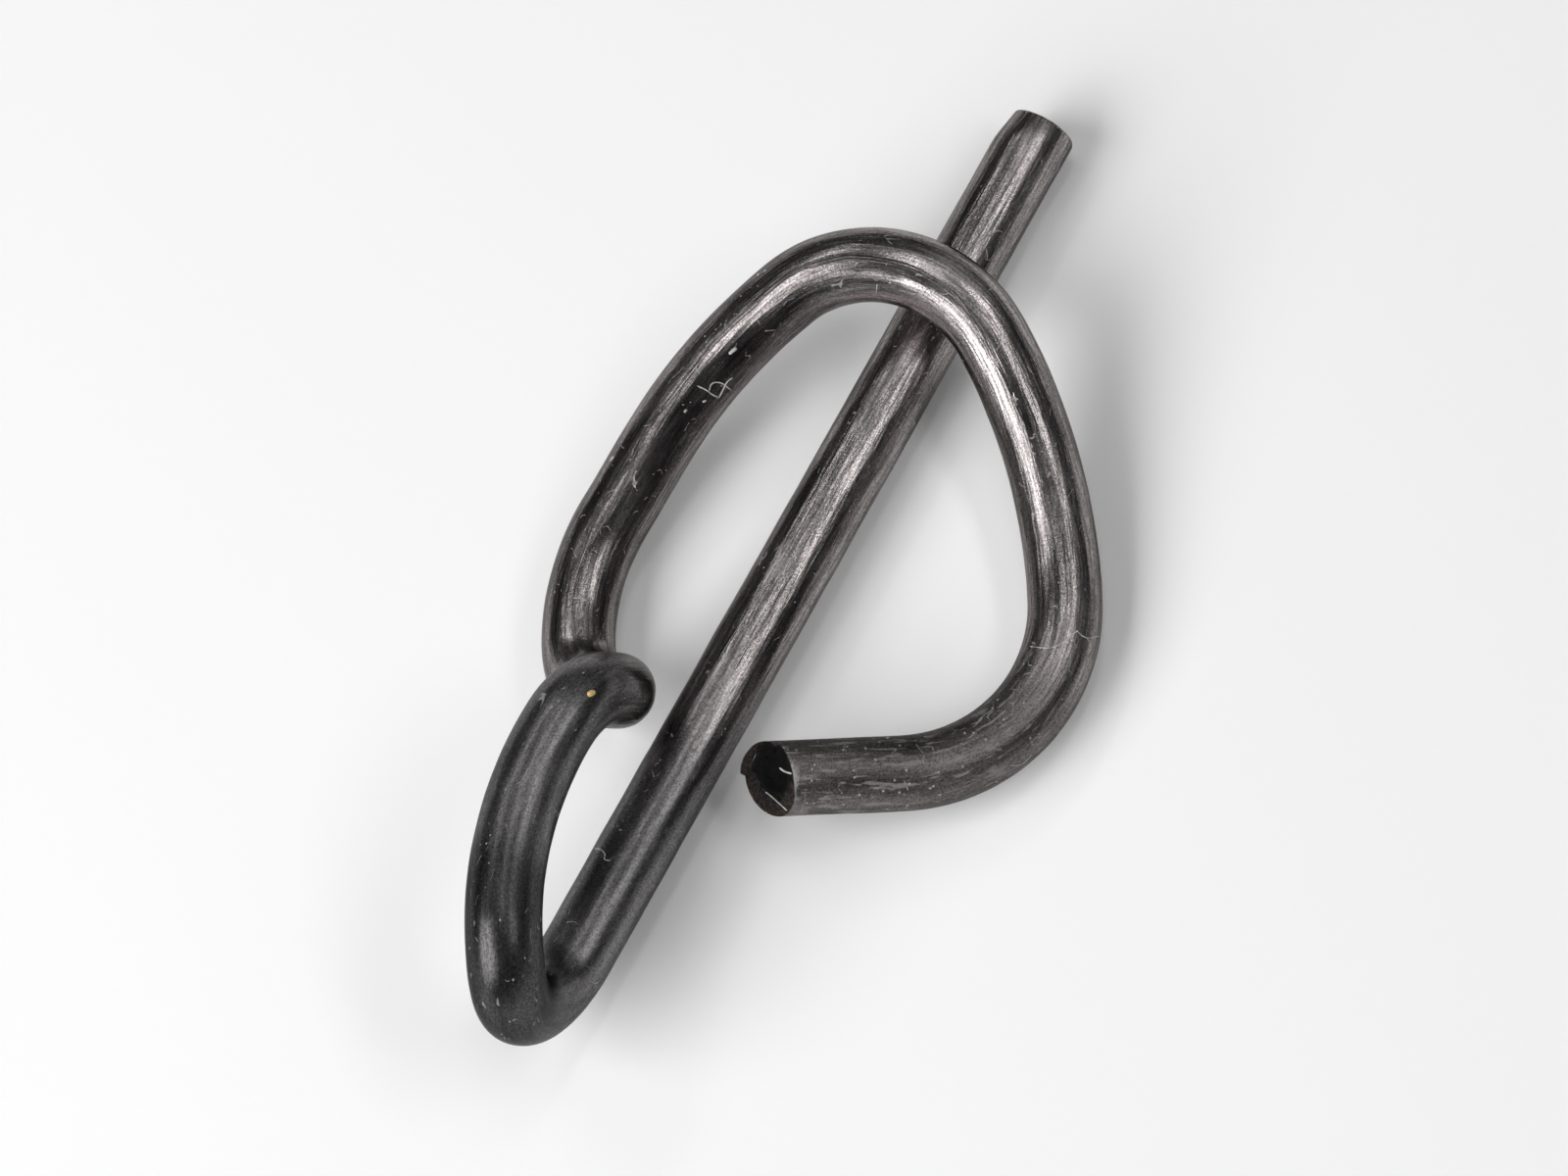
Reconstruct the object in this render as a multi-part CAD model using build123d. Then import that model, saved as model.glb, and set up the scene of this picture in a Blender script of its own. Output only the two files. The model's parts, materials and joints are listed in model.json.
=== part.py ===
from build123d import *
import math
import os

# A clevis pin bent from one length of round spring wire.
# The straight shaft goes through the clevis.  At the head the wire hooks back,
# leaves as a front leg, twists in a small knot, and then sweeps round as an
# open keeper loop that crosses over the shaft and ends beside it.
# Lengths are millimetres and angles degrees.  The wire is followed from the
# tip of the shaft to its free end, as a bending head makes it: roll, bend, feed.

WIRE_DIAMETER = 3.0

# Straight runs
SHAFT_LENGTH = 39.1
LEFT_ARM_RUN = 3.3
RIGHT_ARM_RUN = 0.4
FREE_END_RUN = 5.23

# Head: a tight hook in two bends that turns the wire back beside the shaft
HOOK_RADIUS = 3.5
HOOK_ANGLE = 97.5
HOOK_CLOSE_ROLL_ANGLE = 29.0
HOOK_CLOSE_RADIUS = 2.7
HOOK_CLOSE_ANGLE = 80.0

# Front leg: a slow curve from the head to the knot
LEG_ROLL_ANGLE = -80.5
LEG_RADIUS = 15.5
LEG_ANGLE = 30.0

# Knot: three short bends, each in its own plane, that twist the wire over
KNOT_ENTRY_ROLL_ANGLE = 67.0
KNOT_ENTRY_RADIUS = 2.7
KNOT_ENTRY_ANGLE = 63.0
KNOT_CROWN_ROLL_ANGLE = 72.5
KNOT_CROWN_RADIUS = 4.0
KNOT_CROWN_ANGLE = 62.0
KNOT_EXIT_ROLL_ANGLE = 98.5
KNOT_EXIT_RADIUS = 2.7
KNOT_EXIT_ANGLE = 67.0

# Keeper loop: left arm, top bend over the shaft, right arm, lower bend
LEFT_LOWER_ROLL_ANGLE = 19.0
LEFT_LOWER_RADIUS = 7.5
LEFT_LOWER_ANGLE = 43.0
LEFT_UPPER_ROLL_ANGLE = 6.5
LEFT_UPPER_RADIUS = 19.0
LEFT_UPPER_ANGLE = 25.5
LOOP_TOP_ROLL_ANGLE = 33.0
LOOP_TOP_RADIUS = 5.5
LOOP_TOP_ANGLE = 101.5
RIGHT_ARM_ROLL_ANGLE = -53.0
RIGHT_ARM_RADIUS = 19.0
RIGHT_ARM_ANGLE = 31.5
LOWER_BEND_ROLL_ANGLE = 29.0
LOWER_BEND_RADIUS = 7.0
LOWER_BEND_ANGLE = 88.0

# Tip of the shaft: a rolled-over edge, and a shallow taper down one side
TIP_EDGE_ROUND = 0.22
TIP_TAPER_LENGTH = 1.35
TIP_TAPER_DEPTH = 0.23
TIP_TAPER_ROLL_ANGLE = 70.5

# Free end: sheared off at a slant, and its face curves back toward one side.
# A raised lip runs along part of the edge, round a hollow that the shear tore in.
# ACROSS and SIDE are places on the slanted face, from its middle.
SHEAR_SLANT_ANGLE = 28.0
SHEAR_ROLL_ANGLE = -101.5
SHEAR_CROWN_RADIUS = 5.5
SHEAR_CROWN_SIDE = 0.6
LIP_HEIGHT = 0.19
LIP_END_ACROSS = 0.72
LIP_END_SIDE = 0.25
LIP_INNER_RADIUS = 1.41
LIP_INNER_ACROSS = 0.59
LIP_INNER_SIDE = -0.19
HOLLOW_RADIUS = 0.95
HOLLOW_DEPTH = 0.6
HOLLOW_ACROSS = 0.45
HOLLOW_SIDE = 0.35

# Laying the pin down on its three feet: rounds of settling, steps per bend
SETTLING_ROUNDS = 12
FOOT_SEARCH_STEPS = 400

WIRE_RADIUS = WIRE_DIAMETER / 2
FROM_BASE = (Align.CENTER, Align.CENTER, Align.MIN)
FROM_CORNER = (Align.MAX, Align.MIN, Align.CENTER)


def after_bend(station, radius, angle):
    """The station at the end of a bend toward the station's own x."""
    turned = math.radians(angle)
    aside = radius * (1 - math.cos(turned))
    ahead = radius * math.sin(turned)
    return station * Pos(aside, 0, ahead) * Rot(0, angle, 0)


def bent_piece(station, radius, angle):
    """The wire of one bend: its round section turned about the hinge line."""
    here = Plane(station)
    hinge = Axis(here.origin + here.x_dir * radius, here.y_dir)
    return revolve(here * Circle(WIRE_RADIUS), hinge, angle)


def straight_piece(station, length):
    """The wire of one straight run."""
    return station * Cylinder(WIRE_RADIUS, length, align=FROM_BASE)


def shaft_piece(station):
    """The straight shaft, finished at its tip."""
    shaft = Cylinder(WIRE_RADIUS, SHAFT_LENGTH, align=FROM_BASE)
    shaft = fillet(shaft.edges().sort_by(Axis.Z)[0], TIP_EDGE_ROUND)
    lean = TIP_TAPER_DEPTH / 2
    kept = Pos(-lean, 0, 0) * Cone(
        WIRE_RADIUS - lean, WIRE_RADIUS + lean, TIP_TAPER_LENGTH, align=FROM_BASE
    )
    waste = Cylinder(WIRE_DIAMETER, TIP_TAPER_LENGTH, align=FROM_BASE) - kept
    return station * (shaft - Rot(0, 0, TIP_TAPER_ROLL_ANGLE) * waste)


def sheared_leg(face, height):
    """The last straight run, cut to the curved face, or to that face raised by a height."""
    stock = Cylinder(WIRE_RADIUS, FREE_END_RUN + WIRE_DIAMETER, align=FROM_BASE)
    crown = Rot(0, 90, 0) * Cylinder(SHEAR_CROWN_RADIUS, 2 * FREE_END_RUN)
    return stock & face * Pos(0, SHEAR_CROWN_SIDE, height - SHEAR_CROWN_RADIUS) * crown


def free_end_piece(station):
    """The last straight run, sheared off, with the raised lip and the torn hollow."""
    face = Pos(0, 0, FREE_END_RUN) * Rot(0, 0, SHEAR_ROLL_ANGLE) * Rot(0, SHEAR_SLANT_ANGLE, 0)
    lip_area = Box(WIRE_DIAMETER, WIRE_DIAMETER, WIRE_DIAMETER, align=FROM_CORNER)
    lip_area = Pos(LIP_END_ACROSS, LIP_END_SIDE, 0) * lip_area
    lip_area -= Pos(LIP_INNER_ACROSS, LIP_INNER_SIDE, 0) * Cylinder(LIP_INNER_RADIUS, WIRE_DIAMETER)
    leg = sheared_leg(face, 0) + (sheared_leg(face, LIP_HEIGHT) & face * lip_area)
    ball_radius = (HOLLOW_RADIUS ** 2 + HOLLOW_DEPTH ** 2) / (2 * HOLLOW_DEPTH)
    hollow = Pos(HOLLOW_ACROSS, HOLLOW_SIDE, ball_radius - HOLLOW_DEPTH) * Sphere(ball_radius)
    return station * (leg - face * hollow)


class FormedWire:
    """Wire leaving the bending head: its pieces, and the station it has reached."""

    def __init__(self, start):
        self.start = start
        self.station = start
        self.pieces = []

    def shaft(self):
        self.pieces.append(shaft_piece(self.station))
        self.station = self.station * Pos(0, 0, SHAFT_LENGTH)

    def straight(self, length):
        self.pieces.append(straight_piece(self.station, length))
        self.station = self.station * Pos(0, 0, length)

    def bend(self, turn, radius, angle):
        """Roll the wire, bend it, and give back the arc that it now follows."""
        begin = self.station * Rot(0, 0, turn)
        self.pieces.append(bent_piece(begin, radius, angle))
        self.station = after_bend(begin, radius, angle)
        return (begin, radius, angle)

    def free_end(self):
        self.pieces.append(free_end_piece(self.station))


def form_head(wire):
    wire.bend(0, HOOK_RADIUS, HOOK_ANGLE)
    wire.bend(HOOK_CLOSE_ROLL_ANGLE, HOOK_CLOSE_RADIUS, HOOK_CLOSE_ANGLE)
    wire.bend(LEG_ROLL_ANGLE, LEG_RADIUS, LEG_ANGLE)


def form_knot(wire):
    wire.bend(KNOT_ENTRY_ROLL_ANGLE, KNOT_ENTRY_RADIUS, KNOT_ENTRY_ANGLE)
    wire.bend(KNOT_CROWN_ROLL_ANGLE, KNOT_CROWN_RADIUS, KNOT_CROWN_ANGLE)
    wire.bend(KNOT_EXIT_ROLL_ANGLE, KNOT_EXIT_RADIUS, KNOT_EXIT_ANGLE)


def form_loop(wire):
    """The keeper loop; gives back the two bends that it rests on."""
    left_foot = wire.bend(LEFT_LOWER_ROLL_ANGLE, LEFT_LOWER_RADIUS, LEFT_LOWER_ANGLE)
    wire.straight(LEFT_ARM_RUN)
    wire.bend(LEFT_UPPER_ROLL_ANGLE, LEFT_UPPER_RADIUS, LEFT_UPPER_ANGLE)
    wire.bend(LOOP_TOP_ROLL_ANGLE, LOOP_TOP_RADIUS, LOOP_TOP_ANGLE)
    wire.straight(RIGHT_ARM_RUN)
    wire.bend(RIGHT_ARM_ROLL_ANGLE, RIGHT_ARM_RADIUS, RIGHT_ARM_ANGLE)
    right_foot = wire.bend(LOWER_BEND_ROLL_ANGLE, LOWER_BEND_RADIUS, LOWER_BEND_ANGLE)
    wire.free_end()
    return (left_foot, right_foot)


def form_pin(start):
    wire = FormedWire(start)
    wire.shaft()
    form_head(wire)
    form_knot(wire)
    feet = form_loop(wire)
    return wire, feet


def lowest_on(arc, up):
    """The lowest point of a bend's centre line, for a given way up."""
    begin, radius, angle = arc
    steps = [angle * n / FOOT_SEARCH_STEPS for n in range(FOOT_SEARCH_STEPS + 1)]
    points = [after_bend(begin, radius, turned).position for turned in steps]
    return min(points, key=lambda point: point.dot(up))


def laid_down(start):
    """The start station, turned so that the pin rests on tip, left arm and lower bend."""
    wire, (left_foot, right_foot) = form_pin(start)
    tip = (start * Pos(0, 0, TIP_EDGE_ROUND)).position
    up = Plane(start).x_dir
    for _ in range(SETTLING_ROUNDS):
        left = lowest_on(left_foot, up) - tip
        right = lowest_on(right_foot, up) - tip
        up = left.cross(right).normalized()
        up = up if up.dot(Plane(start).x_dir) > 0 else -up
    toward_tip = -Plane(start).z_dir
    floor = Plane(tip, x_dir=toward_tip - up * toward_tip.dot(up), z_dir=up)
    return floor.location.inverse() * start


wire, feet = form_pin(laid_down(Location((0, 0, 0))))
pin = wire.pieces[0].fuse(*wire.pieces[1:])
box = pin.bounding_box()
pin = Pos(-box.center().X, -box.center().Y, -box.min.Z) * pin
pin.label = "wire_clevis_pin"

os.makedirs("parts", exist_ok=True)
export_step(pin, "parts/wire_clevis_pin.step")
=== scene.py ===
import json
import math

import bpy
import numpy as np
from mathutils import Matrix, Vector, noise


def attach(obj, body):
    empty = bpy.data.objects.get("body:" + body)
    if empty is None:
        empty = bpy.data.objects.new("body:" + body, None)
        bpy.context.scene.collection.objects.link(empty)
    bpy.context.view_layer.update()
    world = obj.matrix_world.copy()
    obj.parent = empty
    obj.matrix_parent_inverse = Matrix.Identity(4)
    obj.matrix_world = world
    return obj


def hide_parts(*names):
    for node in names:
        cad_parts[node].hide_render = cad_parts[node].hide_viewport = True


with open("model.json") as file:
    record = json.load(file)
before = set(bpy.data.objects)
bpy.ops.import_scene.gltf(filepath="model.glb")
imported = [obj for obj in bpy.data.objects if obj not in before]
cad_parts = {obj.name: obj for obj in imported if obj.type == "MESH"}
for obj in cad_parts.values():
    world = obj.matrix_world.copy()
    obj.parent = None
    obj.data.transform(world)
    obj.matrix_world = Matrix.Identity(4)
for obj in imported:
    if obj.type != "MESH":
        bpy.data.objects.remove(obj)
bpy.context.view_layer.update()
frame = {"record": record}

# ---------------------------------------------------------------------------
# The bent wire.  The whole pin is one length of hard-drawn spring steel wire with
# a thin black oxide.  A bending head fed it, rolled it and bent it cold, and a
# shear cut it off at the end of the keeper loop.
# ---------------------------------------------------------------------------

# Its line: straight runs joined by round arcs, from the shaft's tip to the sheared
# free end.  Sizes of the wire are millimetres, and its bends are degrees.
MM = 0.001
WIRE_RADIUS = 1.5
SHAFT_RUN = 39.1
MOUNT_TO_TIP = 21.997       # from the shaft's mount in the record to its tip
HOOK_LEAN = 1.613           # the head's first bend, from upright, as the pin lies
FREE_END_RUN = 5.23
# each bend as the wire meets it: roll, bend radius, bend angle, straight run after it
BENDS = (
    (0.0, 3.5, 97.5, 0.0),              # head, where the wire hooks back
    (29.0, 2.7, 80.0, 0.0),             # head, closing the hook
    (-80.5, 15.5, 30.0, 0.0),           # front leg
    (67.0, 2.7, 63.0, 0.0),             # knot, going in
    (72.5, 4.0, 62.0, 0.0),             # knot, over its crown
    (98.5, 2.7, 67.0, 0.0),             # knot, coming out
    (19.0, 7.5, 43.0, 3.3),             # left arm, lower bend
    (6.5, 19.0, 25.5, 0.0),             # left arm, upper bend
    (33.0, 5.5, 101.5, 0.4),            # top of the loop, over the shaft
    (-53.0, 19.0, 31.5, 0.0),           # right arm
    (29.0, 7.0, 88.0, FREE_END_RUN),    # lower bend, then the free end
)
RUN_SPACING = 0.2           # from ring to ring where the wire is straight
BEND_SPACING = 0.13         # and where it is bent


def turned(vector, axis, angle):
    """A vector turned about an axis, by the right-hand rule."""
    c = math.cos(angle)
    s = math.sin(angle)
    return vector * c + np.cross(axis, vector) * s + axis * axis.dot(vector) * (1 - c)


def wire_line():
    """Stations along the wire's middle: place, direction, and a side that never twists."""
    shaft = frame["record"]["mounts"][0]
    toward_tip = np.array(shaft["axis"]) / np.linalg.norm(shaft["axis"])
    place = np.array(shaft["pos_m"]) / MM + toward_tip * MOUNT_TO_TIP
    ahead = -toward_tip
    level = np.cross((0.0, 0.0, 1.0), ahead)
    lift = np.cross(ahead, level / np.linalg.norm(level))
    inward = turned(lift, ahead, math.radians(HOOK_LEAN))
    side = inward
    stations = []
    for roll, radius, angle, after in ((0.0, 0.0, 0.0, SHAFT_RUN),) + BENDS:
        inward = turned(inward, ahead, math.radians(roll))
        hinge = np.cross(ahead, inward)
        centre = place + inward * radius
        sweep = math.radians(angle)
        count = round(radius * sweep / BEND_SPACING)
        for part in sweep * np.arange(count) / max(count, 1):
            out = turned(-inward * radius, hinge, part)
            stations.append((centre + out, turned(ahead, hinge, part), turned(side, hinge, part)))
        place = centre + turned(-inward * radius, hinge, sweep)
        inward, side, ahead = (turned(vector, hinge, sweep) for vector in (inward, side, ahead))
        for part in np.arange(0, after - RUN_SPACING / 2, RUN_SPACING):
            stations.append((place + ahead * part, ahead, side))
        place = place + ahead * after
    stations.append((place, ahead, side))
    return [np.array(column) for column in zip(*stations)]


middle, ahead, side = wire_line()
lift = np.cross(ahead, side)
steps = np.linalg.norm(np.diff(middle, axis=0), axis=1)
along = np.concatenate([[0.0], np.cumsum(steps)])
WIRE_LENGTH = along[-1]


def outward(n, angle):
    """Straight out from the wire's middle at a station, at an angle round the wire."""
    return np.cos(angle)[..., None] * side[n] + np.sin(angle)[..., None] * lift[n]


# Its skin and its two ends.  Drawn wire is round but never quite even.  The tip's
# edge is rolled over, with a shallow taper down one side.  The free end was sheared
# off at a slant, and the shear tore a hollow in it and left a raised lip along part
# of the edge.  ACROSS and SIDE are places on the slanted cut, from its middle.
RING_POINTS = 96
FACE_POINTS = 192
TIP_FACE_PARTS = (0.02, 0.25, 0.5, 0.75, 0.92)
TIP_RINGS = 22
SHEARED_FACE_PARTS = np.linspace(0.985, 0.01, 56)
UNEVEN_DEPTH = 0.016
UNEVEN_ACROSS = 1.1
UNEVEN_ALONG = 0.42
UNEVEN_FINER = 2.3
TIP_EDGE_ROUND = 0.22
TIP_TAPER_LENGTH = 1.35
TIP_TAPER_DEPTH = 0.23
TIP_TAPER_SIDE = math.radians(70.5)
TIP_TAPER_SOFT = 0.06
SHEAR_SLANT = math.radians(28.0)
SHEAR_ROLL = -101.5
SHEAR_SIDE = math.radians(sum(bend[0] for bend in BENDS) + SHEAR_ROLL)
SHEAR_CROWN_RADIUS = 5.5
SHEAR_CROWN_SIDE = 0.6
SHEAR_SETTLE = 3.0          # how far back the rings take up the slant
LIP_HEIGHT = 0.19
LIP_END_ACROSS = 0.72
LIP_END_SIDE = 0.25
LIP_INNER_RADIUS = 1.41
LIP_INNER_ACROSS = 0.59
LIP_INNER_SIDE = -0.19
LIP_INNER_SLOPE = (-0.03, 0.05)
LIP_SIDE_SLOPE = (-0.04, 0.05)
LIP_END_SLOPE = (-0.05, 0.1)
LIP_SETTLE = 0.5            # how far back the rings take up the lip
HOLLOW_RADIUS = 0.95
HOLLOW_DEPTH = 0.6
HOLLOW_ACROSS = 0.45
HOLLOW_SIDE = 0.35
HOLLOW_RAGGED = 0.16
HOLLOW_FINENESS = 1.7
TORN_ROUGHNESS = 0.018
TORN_FINENESS = 7
SHEARED_PLACE = WIRE_LENGTH + 3     # the run by which the finish knows the sheared face

around = np.linspace(0, 2 * math.pi, RING_POINTS, endpoint=False)


def smooth_step(value, low, high):
    """From 0 at low to 1 at high, with no corner at either."""
    share = np.clip((value - low) / (high - low), 0, 1)
    return share * share * (3 - 2 * share)


def unevenness(run, angle):
    """How far drawn wire stands above or below its true size, here."""
    across = math.cos(angle) * UNEVEN_ACROSS
    up = math.sin(angle) * UNEVEN_ACROSS
    spot = Vector((across, up, run * UNEVEN_ALONG))
    finer = 0.5 * noise.noise(spot * UNEVEN_FINER)
    return UNEVEN_DEPTH * (noise.noise(spot) + finer) - UNEVEN_DEPTH / 2


def tip_radii(back):
    """The skin's distance from the middle, this far back from the tip's face."""
    lean = TIP_TAPER_DEPTH / 2 * (1 + np.cos(around - TIP_TAPER_SIDE))
    taper = lean - TIP_TAPER_DEPTH * back / TIP_TAPER_LENGTH
    soft_start = np.clip(taper + TIP_TAPER_SOFT, 0, None) ** 2 / (4 * TIP_TAPER_SOFT)
    taper = np.where(taper < TIP_TAPER_SOFT, soft_start, taper)
    short = max(TIP_EDGE_ROUND - back, 0.0)
    edge = TIP_EDGE_ROUND - math.sqrt(TIP_EDGE_ROUND ** 2 - short ** 2)
    return WIRE_RADIUS - np.maximum(taper, edge)


def torn_bumps(across, up, fineness):
    """Bumps of torn steel at places on the slanted cut, from about -1 to 1."""
    spots = [Vector((x, y, 0.0)) for x, y in zip(across, up)]
    return np.array([noise.noise(spot * fineness) for spot in spots])


def sheared_face_rise(across, up):
    """How far the torn face stands above the slanted cut, at places on the cut."""
    crown = SHEAR_CROWN_RADIUS - np.sqrt(SHEAR_CROWN_RADIUS ** 2 - (up - SHEAR_CROWN_SIDE) ** 2)
    outside = np.hypot(across - LIP_INNER_ACROSS, up - LIP_INNER_SIDE) - LIP_INNER_RADIUS
    in_lip = smooth_step(outside, *LIP_INNER_SLOPE) * smooth_step(up - LIP_END_SIDE, *LIP_SIDE_SLOPE)
    in_lip = in_lip * smooth_step(LIP_END_ACROSS - across, *LIP_END_SLOPE)
    rise = LIP_HEIGHT * in_lip - crown
    rise = rise + TORN_ROUGHNESS * torn_bumps(across, up, TORN_FINENESS)
    ball_radius = (HOLLOW_RADIUS ** 2 + HOLLOW_DEPTH ** 2) / (2 * HOLLOW_DEPTH)
    from_hollow = np.hypot(across - HOLLOW_ACROSS, up - HOLLOW_SIDE)
    from_hollow = from_hollow + HOLLOW_RAGGED * torn_bumps(across, up, HOLLOW_FINENESS)
    ball = ball_radius - HOLLOW_DEPTH - np.sqrt(np.clip(ball_radius ** 2 - from_hollow ** 2, 0, None))
    return np.minimum(rise, np.where(from_hollow < ball_radius, ball, rise))


def from_cut_middle(across, up, off):
    """Ways from the middle of the slanted cut: across it, up it, and off it."""
    tilt = np.cos(SHEAR_SIDE) * side[-1] + np.sin(SHEAR_SIDE) * lift[-1]
    normal = ahead[-1] * math.cos(SHEAR_SLANT) + tilt * math.sin(SHEAR_SLANT)
    across_way = tilt * math.cos(SHEAR_SLANT) - ahead[-1] * math.sin(SHEAR_SLANT)
    up_way = np.cross(normal, across_way)
    return across[:, None] * across_way + up[:, None] * up_way + off[:, None] * normal


def finish_places(angles, radius, run):
    """Places as the finish knows them: across the wire, up it, then along it."""
    rows = [np.cos(angles) * radius, np.sin(angles) * radius, np.full(len(angles), run)]
    return np.stack(rows, axis=1)


def wire_rings():
    """Rings of points from the tip's middle, along the skin, to the free end's edge."""
    rings = []
    for part in TIP_FACE_PARTS:
        face = outward(0, around) * tip_radii(0.0)[:, None] * part
        rings.append((middle[0] + face, finish_places(around, WIRE_RADIUS * part, 0.0)))
    for back in np.linspace(0, TIP_TAPER_LENGTH, TIP_RINGS):
        skin = outward(0, around) * tip_radii(back)[:, None]
        rings.append((middle[0] + skin + ahead[0] * back, finish_places(around, WIRE_RADIUS, back)))
    rim_across = WIRE_RADIUS * np.cos(around - SHEAR_SIDE) / math.cos(SHEAR_SLANT)
    rim_rise = sheared_face_rise(rim_across, WIRE_RADIUS * np.sin(around - SHEAR_SIDE))
    slant = math.sin(SHEAR_SLANT) * rim_across
    for n in range(int(np.searchsorted(along, TIP_TAPER_LENGTH)) + 1, len(along)):
        from_tip = smooth_step(along[n], TIP_TAPER_LENGTH, TIP_TAPER_LENGTH + 1)
        uneven = np.array([unevenness(along[n], angle) for angle in around]) * from_tip
        left = WIRE_LENGTH - along[n]
        leaning = max(0.0, 1 - left / SHEAR_SETTLE) ** 2
        rising = max(0.0, 1 - left / LIP_SETTLE) ** 2
        skin = outward(n, around) * (WIRE_RADIUS + uneven)[:, None]
        shift = rim_rise / math.cos(SHEAR_SLANT) * rising - slant * leaning
        points = middle[n] + skin + ahead[n] * shift[:, None]
        rings.append((points, finish_places(around, WIRE_RADIUS, along[n])))
    return rings


def sheared_face_rings():
    """Rings of points over the sheared face, from just inside its edge to its middle."""
    angles = np.linspace(0, 2 * math.pi, FACE_POINTS, endpoint=False) - SHEAR_SIDE
    rings = []
    for part in SHEARED_FACE_PARTS:
        across = WIRE_RADIUS * part * np.cos(angles) / math.cos(SHEAR_SLANT)
        up = WIRE_RADIUS * part * np.sin(angles)
        points = middle[-1] + from_cut_middle(across, up, sheared_face_rise(across, up))
        rings.append((points, finish_places(angles + SHEAR_SIDE, WIRE_RADIUS * part, SHEARED_PLACE)))
    return rings


def joined(first, second, points):
    """Four-sided faces between each ring of points and the next."""
    return [(first + n, second + n, second + (n + 1) % points, first + (n + 1) % points)
            for n in range(points)]


skin_rings = wire_rings()
face_rings = sheared_face_rings()
face_start = len(skin_rings) * RING_POINTS
faces = [tuple(range(RING_POINTS))]
for ring in range(len(skin_rings) - 1):
    faces += joined(ring * RING_POINTS, (ring + 1) * RING_POINTS, RING_POINTS)
# the sheared face's rings have two points for each one on the skin
rim = face_start - RING_POINTS
for n in range(RING_POINTS):
    here = face_start + 2 * n
    beside = face_start + (2 * n + 2) % FACE_POINTS
    faces.append((rim + n, here, here + 1))
    faces.append((rim + n, here + 1, rim + (n + 1) % RING_POINTS))
    faces.append((rim + (n + 1) % RING_POINTS, here + 1, beside))
for ring in range(len(face_rings) - 1):
    first = face_start + ring * FACE_POINTS
    faces += joined(first, first + FACE_POINTS, FACE_POINTS)
last = face_start + len(face_rings) * FACE_POINTS
faces.append(tuple(range(last - 1, last - FACE_POINTS - 1, -1)))
wire_points = np.concatenate([points for points, places in skin_rings + face_rings]) * MM
wire_places = np.concatenate([places for points, places in skin_rings + face_rings])
wire_mesh = bpy.data.meshes.new("spring_wire")
wire_mesh.from_pydata(wire_points.tolist(), [], faces)
wire_mesh.shade_smooth()
place_on_wire = wire_mesh.attributes.new("place_on_wire", "FLOAT_VECTOR", "POINT")
place_on_wire.data.foreach_set("vector", wire_places.astype(np.float32).ravel())
wire = bpy.data.objects.new("spring_wire", wire_mesh)
bpy.context.scene.collection.objects.link(wire)

# Its finish: a thin black oxide over drawn steel, nearly black and half glossy, with
# fine lines along the wire from the drawing die.  It is paler where it is rubbed,
# darker where it is oiled, dusty toward the free end, and rusting at the torn face.
# Its gloss at the wire's edges is half that of bare metal.
OXIDE_TINT = (0.171, 0.1575, 0.155, 1)
WIPED_TINT = (0.16, 0.155, 0.158, 1)
SCRATCH_DARK = (0.03, 0.027, 0.026, 1)
DUST_PALE = (0.38, 0.365, 0.36, 1)
TORN_DARK = (0.006, 0.005, 0.005, 1)
TORN_PALE = (0.036, 0.031, 0.029, 1)
RUST = (0.07, 0.04, 0.027, 1)
# painted shade: a near-black colour for the hollow torn in the sheared face
HOLLOW_PAINTED_SHADE = (0.0015, 0.001, 0.001, 1)
EDGE_TINT = (0.5, 0.5, 0.5, 1)
# stretches, as runs from the tip: where each starts, is full, begins to fade, and ends
WIPED = (24.0, 34.0, 57.0, 62.0)        # lower shaft, head and front leg
OILED = (42.0, 46.0, 49.5, 53.0)        # head and start of the front leg
IN_LOOP = (66.0, 70.0, 105.0, 110.0)    # both arms of the loop and its top
WORN_TOP = (83.0, 90.0, 95.0, 101.0)    # top of the loop
SCRATCHED = (69.0, 73.0, 94.0, 96.0)    # left arm and top of the loop
DULL_FROM = 106.0                       # lower bend
DULL_FULL = 112.0                       # free end
RELIEF = 0.025 * MM                     # how high a mark of height 1 stands


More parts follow.
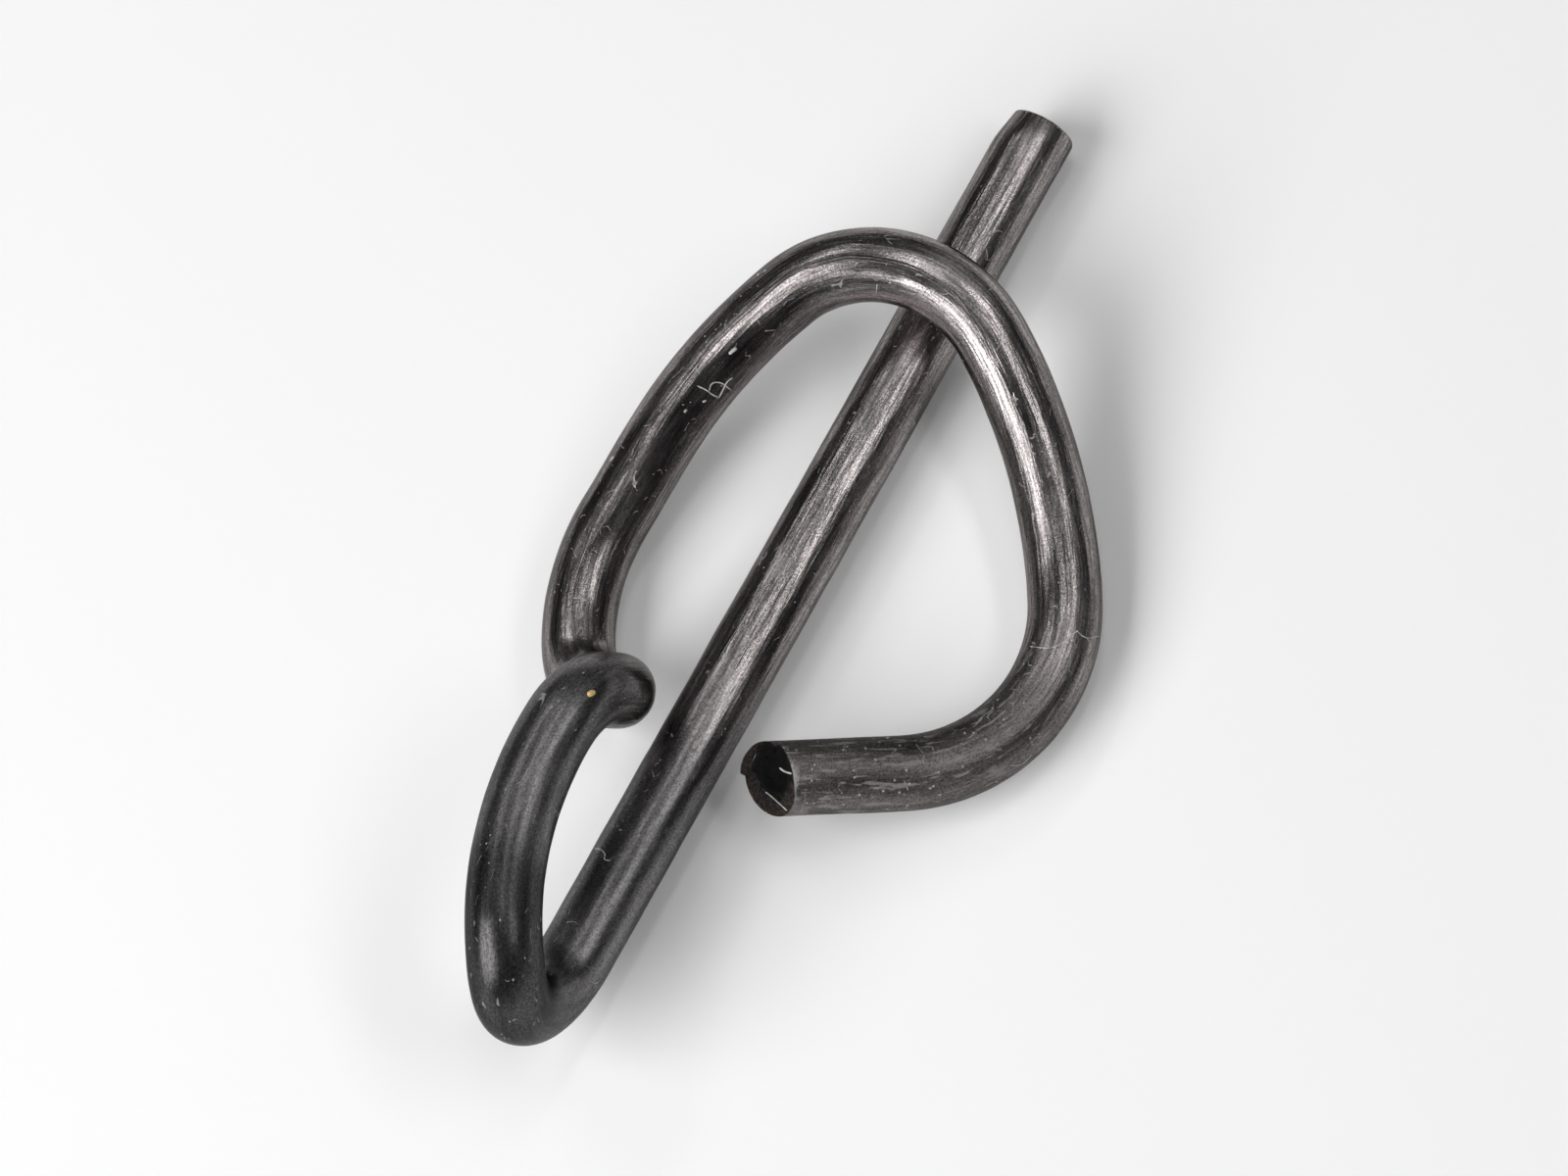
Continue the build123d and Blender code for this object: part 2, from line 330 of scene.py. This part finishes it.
class Finish:
    """A material under construction, as a tree of shader nodes."""

    def __init__(self, name):
        self.material = bpy.data.materials.new(name)
        self.material.use_nodes = True
        self.tree = self.material.node_tree
        self.shader = self.tree.nodes["Principled BSDF"]

    def add(self, kind, out=0, settings=None, **inputs):
        """A node, its inputs set or joined by name or number, and one of its outputs."""
        made = self.tree.nodes.new("ShaderNode" + kind)
        for name, value in (settings or {}).items():
            setattr(made, name, value)
        for name, value in inputs.items():
            key = int(name[1:]) if name[0] == "i" and name[1:].isdigit() else name.replace("_", " ")
            self.put(made.inputs[key], value)
        return made.outputs[out]

    def put(self, socket, value):
        """Join a socket to another node, or set it to a constant."""
        if isinstance(value, bpy.types.NodeSocket):
            self.tree.links.new(value, socket)
        else:
            socket.default_value = value

    def math(self, operation, first, second=0.0):
        return self.add("Math", settings={"operation": operation}, i0=first, i1=second)

    def times(self, first, second):
        return self.math("MULTIPLY", first, second)

    def scaled(self, vector, scale):
        return self.add("VectorMath", settings={"operation": "MULTIPLY"}, i0=vector, i1=scale)

    def drawn_out(self, place, share):
        """Places for marks that lie along the wire, longer for a smaller share."""
        return self.scaled(place, (1, 1, share))

    def distance(self, vector, place):
        return self.add("VectorMath", out=1, settings={"operation": "DISTANCE"}, i0=vector, i1=place)

    def noise(self, vector, size, detail=3.0, rough=0.55, distortion=0.0):
        """Noise from 0 to 1 whose marks are about this size, in the vector's own units."""
        return self.add("TexNoise", Vector=vector, Scale=1 / size, Detail=detail,
                        Roughness=rough, Distortion=distortion)

    def ramp(self, value, low, high, start=0.0, end=1.0):
        """From start at low to end at high, with no corner at either."""
        return self.add("MapRange", settings={"interpolation_type": "SMOOTHSTEP"},
                        Value=value, From_Min=low, From_Max=high, To_Min=start, To_Max=end)

    def stretch(self, run, starts, full, fades, ends):
        """1 along a stretch of the wire and 0 off it, with soft ends."""
        return self.times(self.ramp(run, starts, full), self.ramp(run, ends, fades))

    def blend(self, share, first, second):
        return self.add("Mix", out=2, settings={"data_type": "RGBA"}, i0=share, i6=first, i7=second)

    def surface(self, **inputs):
        for name, value in inputs.items():
            self.put(self.shader.inputs[name.replace("_", " ")], value)


oxide = Finish("black_oxide_wire")
skin_place = oxide.add("Attribute", out=1, settings={"attribute_name": "place_on_wire"})
across_place = oxide.add("SeparateXYZ", out=0, Vector=skin_place)
up_place = oxide.add("SeparateXYZ", out=1, Vector=skin_place)
along_wire = oxide.add("SeparateXYZ", out=2, Vector=skin_place)
wiped = oxide.stretch(along_wire, *WIPED)
oiled = oxide.stretch(along_wire, *OILED)
in_loop = oxide.stretch(along_wire, *IN_LOOP)
worn_top = oxide.stretch(along_wire, *WORN_TOP)
dull = oxide.ramp(along_wire, DULL_FROM, DULL_FULL)
calm = oxide.math("MAXIMUM", dull, wiped)           # where the streaks are faint
drawn = oxide.ramp(wiped, 0.0, 1.0, 1.0, 0.25)      # how deep the drawing lines are

# marks of the drawing die and of rubbing, all of them long along the wire, and the grain
galls = oxide.noise(oxide.drawn_out(skin_place, 0.09), size=0.34, rough=0.5)
die_lines = oxide.noise(oxide.drawn_out(skin_place, 0.06), size=0.12, rough=0.6)
rubbed = oxide.noise(oxide.drawn_out(skin_place, 0.22), size=1.1, detail=5.0, rough=0.6, distortion=0.2)
grain = oxide.noise(skin_place, size=0.08, rough=0.85)

# dust: specks, hairs too fine to be pieces, and scuffs toward the free end
SPECK_SPACING = 0.4
speck_place = oxide.add("TexVoronoi", out=0, Vector=skin_place, Scale=1 / SPECK_SPACING)
speck_pick = oxide.noise(skin_place, size=0.9, detail=2.0)
speck_least = oxide.ramp(dull, 0.0, 1.0, 0.52, 0.32)
speck_here = oxide.ramp(oxide.math("SUBTRACT", speck_pick, speck_least), 0.0, 0.04)
speck_edge = oxide.ramp(dull, 0.0, 1.0, 0.11, 0.18)
specks = oxide.times(oxide.ramp(speck_place, speck_edge, 0.07), speck_here)
hair_course = oxide.noise(oxide.drawn_out(skin_place, 0.6), size=0.9, detail=1.0)
hair_line = oxide.math("ABSOLUTE", oxide.math("SUBTRACT", hair_course, 0.5))
hair_pick = oxide.noise(skin_place, size=0.4, detail=1.0)
hair_pick = oxide.math("ADD", hair_pick, oxide.times(dull, 0.05))
hairs = oxide.times(oxide.ramp(hair_line, 0.009, 0.004), oxide.ramp(hair_pick, 0.57, 0.62))
scuffs = oxide.noise(oxide.drawn_out(skin_place, 0.22), size=0.24, detail=2.0, rough=0.6)
scuffed = oxide.times(oxide.ramp(scuffs, 0.55, 0.66), oxide.times(dull, 0.45))
dust = oxide.math("MAXIMUM", specks, oxide.times(hairs, 0.6))
dust = oxide.math("MAXIMUM", dust, scuffed)

# how bright the steel shines through: each mask with its range, and its effect over it
streak_least = oxide.ramp(calm, 0.0, 1.0, 0.73, 0.9)
streak_most = oxide.ramp(calm, 0.0, 1.0, 1.68, 1.12)
shine = oxide.ramp(die_lines, 0.32, 0.68, streak_least, streak_most)
for mask, low, high, least, most in (
    (rubbed, 0.3, 0.7, 0.7, 1.4),
    (wiped, 0.0, 1.0, 1.0, 0.78),
    (oiled, 0.0, 1.0, 1.0, 0.42),
    (dull, 0.0, 1.0, 1.0, 0.8),
    (in_loop, 0.0, 1.0, 1.0, 0.84),
    (worn_top, 0.0, 1.0, 1.0, 1.45),
    (grain, 0.3, 0.7, 0.5, 1.75),
):
    shine = oxide.times(shine, oxide.ramp(mask, low, high, least, most))
tint = oxide.blend(wiped, OXIDE_TINT, WIPED_TINT)
colour = oxide.scaled(oxide.add("CombineXYZ", X=shine, Y=shine, Z=shine), tint)

# a pair of scratches from the drawing die, all along the left arm and the loop's top
DIE_SCRATCH_SIDE = math.radians(133.0)
DIE_SCRATCH_TWIST = math.radians(18.0)
DIE_SCRATCH_TWIST_FROM = 88.0
DIE_SCRATCH_TWIST_TO = 95.0
DIE_SCRATCH_WANDER = 0.05
DIE_SCRATCH_GAP = 0.12
bearing = oxide.math("ARCTAN2", up_place, across_place)
wander = oxide.noise(oxide.scaled(skin_place, (0, 0, 1)), size=3.0, detail=1.0)
twist = oxide.ramp(along_wire, DIE_SCRATCH_TWIST_FROM, DIE_SCRATCH_TWIST_TO,
                   DIE_SCRATCH_SIDE, DIE_SCRATCH_SIDE + DIE_SCRATCH_TWIST)
wander = oxide.ramp(wander, 0.3, 0.7, -DIE_SCRATCH_WANDER, DIE_SCRATCH_WANDER)
twist = oxide.math("ADD", twist, wander)
beside = oxide.times(oxide.math("SUBTRACT", bearing, twist), WIRE_RADIUS)
beside_second = oxide.math("SUBTRACT", beside, DIE_SCRATCH_GAP)
first_scratch = oxide.ramp(oxide.math("ABSOLUTE", beside), 0.045, 0.012)
second_scratch = oxide.ramp(oxide.math("ABSOLUTE", beside_second), 0.035, 0.01)
scratches = oxide.math("ADD", first_scratch, oxide.times(second_scratch, 0.7))
scratches = oxide.times(scratches, oxide.stretch(along_wire, *SCRATCHED))
colour = oxide.blend(oxide.times(scratches, 0.6), colour, SCRATCH_DARK)

# a pale smear of dried oil where the skin meets the sheared face
SMEAR_RUN = WIRE_LENGTH + 0.1
SMEAR_SIDE = math.radians(122.0)
SMEAR_PLACE = (WIRE_RADIUS * math.cos(SMEAR_SIDE), WIRE_RADIUS * math.sin(SMEAR_SIDE), SMEAR_RUN)
smear_edge = oxide.noise(skin_place, size=0.15, detail=4.0, rough=0.7)
to_smear = oxide.distance(skin_place, SMEAR_PLACE)
to_smear = oxide.math("ADD", to_smear, oxide.ramp(smear_edge, 0.3, 0.7, -0.2, 0.2))
dust = oxide.math("MAXIMUM", dust, oxide.times(oxide.ramp(to_smear, 0.75, 0.3), 0.8))
colour = oxide.blend(dust, colour, DUST_PALE)

# the torn face: dull, with painted shade nearly black in the hollow, and rusting at its
# edge; to the finish its places lie past the wire's end
HOLLOW_PLACE = (
    HOLLOW_ACROSS * math.cos(SHEAR_SLANT) * math.cos(SHEAR_SIDE) - HOLLOW_SIDE * math.sin(SHEAR_SIDE),
    HOLLOW_ACROSS * math.cos(SHEAR_SLANT) * math.sin(SHEAR_SIDE) + HOLLOW_SIDE * math.cos(SHEAR_SIDE),
    0,
)
sheared = oxide.ramp(along_wire, WIRE_LENGTH + 1, WIRE_LENGTH + 2)
face_place = oxide.scaled(skin_place, (1, 1, 0))
from_middle = oxide.distance(face_place, (0, 0, 0))
ragged = oxide.noise(skin_place, size=0.6)
from_hollow = oxide.distance(face_place, HOLLOW_PLACE)
from_hollow = oxide.math("ADD", from_hollow, oxide.ramp(ragged, 0.3, 0.7, -0.2, 0.2))
torn = oxide.noise(skin_place, size=0.16, detail=5.0, rough=0.7)
torn_high = oxide.ramp(torn, 0.4, 0.6)
rusty = oxide.times(oxide.ramp(from_middle, 1.05, 1.45), torn_high)
torn_colour = oxide.blend(torn_high, TORN_DARK, TORN_PALE)
torn_colour = oxide.blend(oxide.times(rusty, 0.6), torn_colour, RUST)
# painted shade: the hollow and just round it are coloured nearly black
torn_colour = oxide.blend(oxide.ramp(from_hollow, 1.2, 1.02), torn_colour, HOLLOW_PAINTED_SHADE)
colour = oxide.blend(sheared, colour, torn_colour)

# roughness and relief, each mark adding its share
roughness = oxide.ramp(rubbed, 0.3, 0.7, 0.2, 0.3)
for mark, share in ((dull, 0.2), (wiped, 0.1), (dust, 0.4), (sheared, 0.4)):
    roughness = oxide.math("ADD", roughness, oxide.times(mark, share))
height = oxide.times(oxide.times(galls, drawn), 1.5)
for mark, share in (
    (oxide.times(die_lines, drawn), 0.5),
    (grain, 0.1),
    (dust, 0.5),
    (scratches, -1.2),
    (oxide.times(sheared, torn), 3.0),
):
    height = oxide.math("ADD", height, oxide.times(mark, share))
relief = oxide.add("Bump", Strength=1.0, Distance=RELIEF, Height=height)
metal = oxide.math("SUBTRACT", 1.0, oxide.math("MAXIMUM", dust, oxide.times(sheared, 0.9)))
oxide.surface(Base_Color=colour, Metallic=metal, Roughness=roughness, Normal=relief)
oxide.surface(Specular_Tint=EDGE_TINT)
wire.data.materials.append(oxide.material)
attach(wire, "root")
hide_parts("wire_clevis_pin")

# ---------------------------------------------------------------------------
# Lint and grit.  Hairs of pale lint and grains of grit, one of them the colour of
# straw, cling to the oiled wire and lie on its skin.  A few hairs are caught on
# the sheared face.
# ---------------------------------------------------------------------------
STRAND_SIDES = 8
STRAND_THINNEST = 0.05
HAIR_END_TAPER = 0.6
NO_STRANDS_WAY = (0.31, 0.17, 0.94)     # a direction that no strand lies along
STRAW_SPOT = (57.9, 238)                # the straw-coloured grain, on the knot
LINT_SOILED = (0.33, 0.31, 0.285, 1)
LINT_CLEAN = (0.62, 0.61, 0.59, 1)
STRAW = (0.78, 0.55, 0.24, 1)
# thickness in the middle, a hair or a grain, and the way it lies: run along the wire
# and angle round it
SKIN_STRANDS = (
    (0.048, "hair", ((108.0, 184), (108.0, 164), (107.9, 145), (107.5, 132), (107.1, 121), (106.9, 115))),
    (0.042, "hair", ((106.9, 117), (107.05, 106), (107.05, 94), (106.9, 81), (106.75, 67))),
    (0.030, "hair", ((107.05, 96), (107.2, 84))),
    (0.060, "hair", ((79.6, 158), (79.7, 173), (79.68, 186), (79.75, 199))),
    (0.055, "hair", ((79.75, 199), (79.95, 197), (80.3, 193), (80.55, 191), (80.8, 194))),
    (0.055, "hair", ((79.75, 178), (80.0, 173), (80.2, 176), (80.35, 186), (80.33, 200), (80.3, 208))),
    (0.032, "hair", ((69.1, 142), (69.15, 152), (69.05, 163))),
    (0.150, "grain", ((81.5, 163.5), (81.72, 164.5), (81.92, 165.5))),
    (0.036, "hair", ((35.29, 51), (35.26, 40), (35.3, 28), (35.4, 19), (35.6, 18), (35.6, 12), (35.55, 6))),
    (0.034, "hair", ((40.36, -62), (40.3, -70), (40.05, -79), (39.88, -80), (39.64, -76))),
    (0.030, "hair", ((112.35, 77), (112.1, 66), (111.8, 61), (111.5, 66))),
    (0.050, "hair", ((6.6, -13), (6.35, -18), (5.9, -24), (5.5, -32), (5.22, -38), (5.17, -46))),
    (0.036, "hair", ((6.13, -35), (6.3, -42), (6.5, -47))),
    (0.040, "hair", ((89.0, 177), (88.97, 187), (88.94, 196))),
    (0.090, "grain", ((34.08, -14), (34.16, -13), (34.24, -12))),
    (0.110, "grain", ((78.36, 166.5), (78.44, 167), (78.53, 167.5))),
    (0.085, "grain", ((79.18, 180), (79.25, 182), (79.34, 184))),
    (0.120, "grain", ((75.02, 99), (75.14, 100.5), (75.26, 102))),
    (0.080, "grain", ((116.7, -172), (116.64, -171), (116.58, -170))),
    (0.075, "grain", ((86.53, 161), (86.59, 161.5), (86.66, 162))),
    (0.070, "grain", ((84.36, 92), (84.42, 92.5), (84.48, 93))),
    (0.060, "grain", ((84.7, 95.5), (84.75, 96), (84.8, 96.5))),
    (0.240, "grain", ((57.78, 236), STRAW_SPOT, (58.02, 240))),
)
# the same for the sheared face: across, up, and off the slanted cut, from its middle
FACE_STRANDS = (
    (0.065, "hair", ((-0.35, -0.5, -0.06), (-0.05, -0.66, -0.1), (0.45, -1.0, -0.18), (0.8, -1.28, -0.28))),
    (0.080, "hair", ((0.9, 0.4, 0.05), (1.2, 0.26, 0.08), (1.7, 0.15, 0.05))),
    (0.040, "hair", ((-0.85, 0.62, 0.17), (-0.7, 0.85, 0.17), (-0.5, 1.12, 0.14))),
)


def on_skin(spots):
    """Places on the wire's skin, from runs along the wire and angles round it."""
    runs, angles = np.array(spots, dtype=float).T
    n = np.searchsorted(along, runs)
    line = np.stack([np.interp(runs, along, middle[:, k]) for k in range(3)], axis=1)
    return line + outward(n, np.radians(angles)) * WIRE_RADIUS


def on_face(spots):
    """Places by the sheared face, from its middle: across, up, and off the slanted cut."""
    across, up, off = np.array(spots, dtype=float).T
    return middle[-1] + from_cut_middle(across, up, off)


def softened(points):
    """The same way with its corners cut off, twice."""
    for _ in range(2):
        first, second = points[:-1], points[1:]
        cut = np.stack([first * 0.75 + second * 0.25, first * 0.25 + second * 0.75], axis=1)
        points = np.concatenate([points[:1], cut.reshape(-1, 3), points[-1:]])
    return points


def strand_rings(points, thickness, kind):
    """Rings round a hair or a grain, which thin out toward its two ends."""
    points = softened(points)
    share = np.linspace(-1, 1, len(points))
    swell = np.sqrt(1 - share ** 2) if kind == "grain" else 1 - np.abs(share) ** 6 * HAIR_END_TAPER
    way = np.gradient(points, axis=0)
    way = way / np.linalg.norm(way, axis=1)[:, None]
    wide = np.cross(way, NO_STRANDS_WAY)
    wide = wide / np.linalg.norm(wide, axis=1)[:, None]
    deep = np.cross(way, wide)
    turn = np.linspace(0, 2 * math.pi, STRAND_SIDES, endpoint=False)[None, :, None]
    ring = np.cos(turn) * wide[:, None] + np.sin(turn) * deep[:, None]
    return points[:, None] + ring * (thickness / 2 * np.maximum(swell, STRAND_THINNEST))[:, None, None]


strands = [strand_rings(on_skin(spots), thick, kind) for thick, kind, spots in SKIN_STRANDS]
strands += [strand_rings(on_face(spots), thick, kind) for thick, kind, spots in FACE_STRANDS]
lint_points = []
lint_faces = []
for rings in strands:
    start = len(lint_points)
    for ring in range(len(rings) - 1):
        first = start + ring * STRAND_SIDES
        lint_faces += joined(first, first + STRAND_SIDES, STRAND_SIDES)
    lint_faces.append(tuple(range(start + STRAND_SIDES - 1, start - 1, -1)))
    lint_points += [tuple(point * MM) for point in rings.reshape(-1, 3)]
    lint_faces.append(tuple(range(len(lint_points) - STRAND_SIDES, len(lint_points))))
lint_mesh = bpy.data.meshes.new("lint_and_grit")
lint_mesh.from_pydata(lint_points, [], lint_faces)
lint_mesh.shade_smooth()
lint = bpy.data.objects.new("lint_and_grit", lint_mesh)
bpy.context.scene.collection.objects.link(lint)

pale_lint = Finish("pale_lint")
lint_place = pale_lint.add("TexCoord", out=3)
soiled = pale_lint.noise(lint_place, size=0.3 * MM, detail=2.0)
lint_colour = pale_lint.blend(pale_lint.ramp(soiled, 0.35, 0.65), LINT_SOILED, LINT_CLEAN)
to_straw = pale_lint.distance(lint_place, tuple(on_skin((STRAW_SPOT,))[0] * MM))
straw_here = pale_lint.ramp(to_straw, 0.4 * MM, 0.3 * MM)
lint_colour = pale_lint.blend(straw_here, lint_colour, STRAW)
pale_lint.surface(Base_Color=lint_colour, Roughness=0.85)
lint_mesh.materials.append(pale_lint.material)
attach(lint, "root")

# ---------------------------------------------------------------------------
# The studio: a pale paper floor in a dim room.  The main light is a large soft box
# to the left; three narrow strips at the right, overhead and at the far side draw
# the bright lines on the wire, and a broad dim box overhead fills the dark side.
# ---------------------------------------------------------------------------
FLOOR_HALF = 2.0
PAPER = (0.95, 0.95, 0.95, 1)
PAPER_GLOW = 0.08
ROOM_LIGHT = (0.055, 0.055, 0.055, 1)
corners = [(-FLOOR_HALF, -FLOOR_HALF, 0), (FLOOR_HALF, -FLOOR_HALF, 0),
           (FLOOR_HALF, FLOOR_HALF, 0), (-FLOOR_HALF, FLOOR_HALF, 0)]
floor_mesh = bpy.data.meshes.new("floor")
floor_mesh.from_pydata(corners, [], [(0, 1, 2, 3)])
floor = bpy.data.objects.new("floor", floor_mesh)
bpy.context.scene.collection.objects.link(floor)
paper = Finish("pale_paper")
seen = paper.add("LightPath", out=0)
mirrored = paper.add("LightPath", out=3)
refracted = paper.add("LightPath", out=6)
looked_at = paper.math("MAXIMUM", paper.math("MAXIMUM", seen, mirrored), refracted)
paper.surface(Base_Color=PAPER, Roughness=0.9, Emission_Color=(1, 1, 1, 1))
paper.surface(Emission_Strength=paper.times(looked_at, PAPER_GLOW))
floor_mesh.materials.append(paper.material)


def soft_box(name, direction, tall_way, distance, width, height, power):
    """A rectangular soft box that faces the pin, its height along the way given."""
    light = bpy.data.lights.new(name, "AREA")
    light.shape = "RECTANGLE"
    light.size = width
    light.size_y = height
    light.energy = power
    lamp = bpy.data.objects.new(name, light)
    bpy.context.scene.collection.objects.link(lamp)
    toward = Vector(direction).normalized()
    wide = Vector(tall_way).cross(toward).normalized()
    lamp.location = toward * distance
    lamp.rotation_mode = "QUATERNION"
    lamp.rotation_quaternion = Matrix((wide, toward.cross(wide), toward)).transposed().to_quaternion()


LOOP_WAY = (0.785, 0.451, 0.426)
SHAFT_WAY = (1.0, 0.0, 0.0)
# direction from the pin, way of the height, distance, width and height in metres, watts
soft_box("left_box", (-0.68, 0.352, 0.645), LOOP_WAY, 0.40, 0.24, 0.40, 1.62)
soft_box("right_box", (0.224, -0.551, 0.801), LOOP_WAY, 0.40, 0.06, 0.24, 0.22)
soft_box("middle_box", (0.216, 0.01, 0.976), SHAFT_WAY, 0.40, 0.035, 0.18, 0.10)
soft_box("far_box", (0.216, 0.579, 0.786), SHAFT_WAY, 0.40, 0.035, 0.18, 0.10)
soft_box("top_box", (0.495, -0.236, 0.835), LOOP_WAY, 0.42, 0.50, 0.50, 0.20)
world = bpy.data.worlds.new("studio")
bpy.context.scene.world = world
world.use_nodes = True
world.node_tree.nodes["Background"].inputs["Color"].default_value = ROOM_LIGHT

# The camera looks down on the pin as it lies, with the shaft running up and away to
# the right.
CAMERA_TARGET = Vector((-1.073, 0.590, 5.639)) * MM
CAMERA_DISTANCE = 216.0 * MM
CAMERA_AZIMUTH = math.radians(-36.144)
CAMERA_ELEVATION = math.radians(68.541)
CAMERA_ROLL = math.radians(-26.835)
CAMERA_LENS = 126.36
CAMERA_SENSOR = 36.0
camera = bpy.data.objects.new("camera", bpy.data.cameras.new("camera"))
bpy.context.scene.collection.objects.link(camera)
camera.data.sensor_width = CAMERA_SENSOR
camera.data.lens = CAMERA_LENS
camera.data.clip_start = 0.01
back = Vector((
    math.sin(CAMERA_AZIMUTH) * math.cos(CAMERA_ELEVATION),
    -math.cos(CAMERA_AZIMUTH) * math.cos(CAMERA_ELEVATION),
    math.sin(CAMERA_ELEVATION),
))
camera.location = CAMERA_TARGET + back * CAMERA_DISTANCE
camera.rotation_mode = "QUATERNION"
roll = Matrix.Rotation(CAMERA_ROLL, 4, "Z").to_quaternion()
camera.rotation_quaternion = back.to_track_quat("Z", "Y") @ roll
bpy.context.scene.camera = camera
bpy.context.scene.view_settings.view_transform = "Standard"
